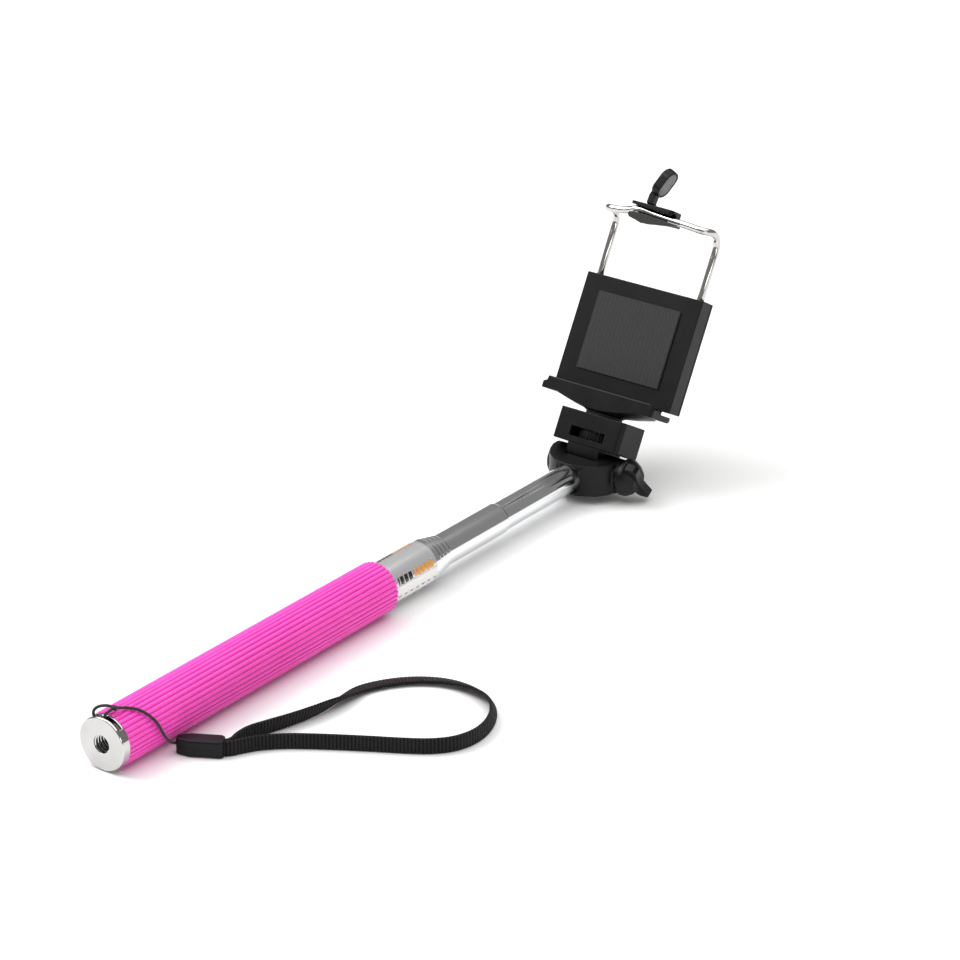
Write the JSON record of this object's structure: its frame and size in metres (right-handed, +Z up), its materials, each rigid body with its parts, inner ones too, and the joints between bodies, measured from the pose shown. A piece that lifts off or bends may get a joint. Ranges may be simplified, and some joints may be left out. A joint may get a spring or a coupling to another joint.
{
  "type": "selfie stick",
  "caption": "Telescopic selfie stick with a ribbed pink grip, polished steel tubes, a tilting phone clamp with a sprung wire jaw, and a black wrist strap.",
  "frame": {"origin": "centre of the mouth of the threaded hole in the handle's end cap, on the stick's axis", "axes": "+X along the stick towards the clamp, +Z up with the stick lying on a table, +Y left looking along +X, away from the wing knob"},
  "size_m": [0.3242, 0.1088, 0.1123],
  "materials": {
    "pink_rubber": "satin, ribbed",
    "black_rubber": "matt",
    "black_plastic": "satin",
    "grey_plastic": "satin",
    "clear_film": "glossy film",
    "polished_tube": "mirror polish",
    "chrome_wire": "mirror polish",
    "polished_alloy": "turned and polished",
    "bright_steel": "zinc plated",
    "brass": "plain",
    "black_webbing": "woven"
  },
  "bodies": {
    "handle": {"end_cap": "polished_alloy", "grip": "pink_rubber", "tube_1": "polished_tube", "tube_label": "clear_film", "wrist_cord": "black_webbing", "cord_knot": "black_webbing", "strap_clip_body": "black_plastic", "strap_clip_cover": "black_plastic", "wrist_webbing": "black_webbing"},
    "section_2": {"tube_2": "polished_tube", "friction_sleeve_2": "brass"},
    "section_3": {"tube_3": "polished_tube", "friction_sleeve_3": "brass"},
    "section_4": {"tube_4": "polished_tube", "friction_sleeve_4": "brass"},
    "section_5": {"tube_5": "polished_tube", "friction_sleeve_5": "brass"},
    "section_6": {"friction_sleeve_6": "brass"},
    "head": {"tube_6": "polished_tube", "tube_plug": "polished_alloy", "fork_screw": "bright_steel", "fork_head": "black_plastic", "hinge_bolt": "bright_steel", "knob_washer": "bright_steel"},
    "knob": {"wing_knob": "black_plastic", "knob_nut": "brass"},
    "tilt": {"tilt_block": "black_plastic", "swivel_washer": "black_rubber"},
    "wheel": {"thumb_wheel": "black_plastic", "tripod_screw": "bright_steel"},
    "clamp": {"clamp_base": "black_plastic", "clamp_nut": "brass", "seat_pad": "black_rubber", "back_pad": "black_rubber", "clamp_cover": "black_plastic", "cover_screws": "bright_steel", "jaw_springs": "bright_steel"},
    "upper_jaw": {"wire_frame": "chrome_wire", "leg_ferrules": "brass", "jaw_bridge": "black_plastic", "jaw_block": "black_rubber", "bridge_screws": "bright_steel", "lever_pin": "bright_steel"},
    "lever": {"jaw_lever": "black_plastic", "lever_pad": "grey_plastic"}
  },
  "joints": [
    {"name": "extend_2", "type": "slide", "parent": "handle", "child": "section_2", "axis": [1, 0, 0], "range_m": [0, 0.142]},
    {"name": "extend_3", "type": "slide", "parent": "section_2", "child": "section_3", "axis": [1, 0, 0], "range_m": [0, 0.143]},
    {"name": "extend_4", "type": "slide", "parent": "section_3", "child": "section_4", "axis": [1, 0, 0], "range_m": [0, 0.145]},
    {"name": "extend_5", "type": "slide", "parent": "section_4", "child": "section_5", "axis": [1, 0, 0], "range_m": [-0.033, 0.113]},
    {"name": "extend_6", "type": "slide", "parent": "section_5", "child": "section_6", "axis": [1, 0, 0], "range_m": [-0.041, 0.106]},
    {"name": "head_turn", "type": "hinge", "parent": "section_6", "child": "head", "pos_m": [0.1, 0, 0], "axis": [1, 0, 0], "continuous": true},
    {"name": "knob_turn", "type": "hinge", "parent": "head", "child": "knob", "pos_m": [0.272, 0, 0], "axis": [0, 1, 0], "continuous": true},
    {"name": "head_tilt", "type": "hinge", "parent": "head", "child": "tilt", "pos_m": [0.272, 0, 0], "axis": [0, 1, 0], "range_deg": [-15, 137]},
    {"name": "wheel_turn", "type": "hinge", "parent": "tilt", "child": "wheel", "pos_m": [0.27715, 0, 0.00949], "axis": [0.4772, 0, 0.8788], "continuous": true},
    {"name": "clamp_turn", "type": "hinge", "parent": "tilt", "child": "clamp", "pos_m": [0.28154, 0, 0.01758], "axis": [0.4772, 0, 0.8788], "continuous": true},
    {"name": "jaw_slide", "type": "slide", "parent": "clamp", "child": "upper_jaw", "axis": [0.4772, 0, 0.8788], "range_m": [-0.011, 0.018], "deforming": ["jaw_springs"]},
    {"name": "lever_fold", "type": "hinge", "parent": "upper_jaw", "child": "lever", "pos_m": [0.31589, 0.0054, 0.08712], "axis": [0.8788, 0, -0.4772], "range_deg": [-10, 33]}
  ]
}
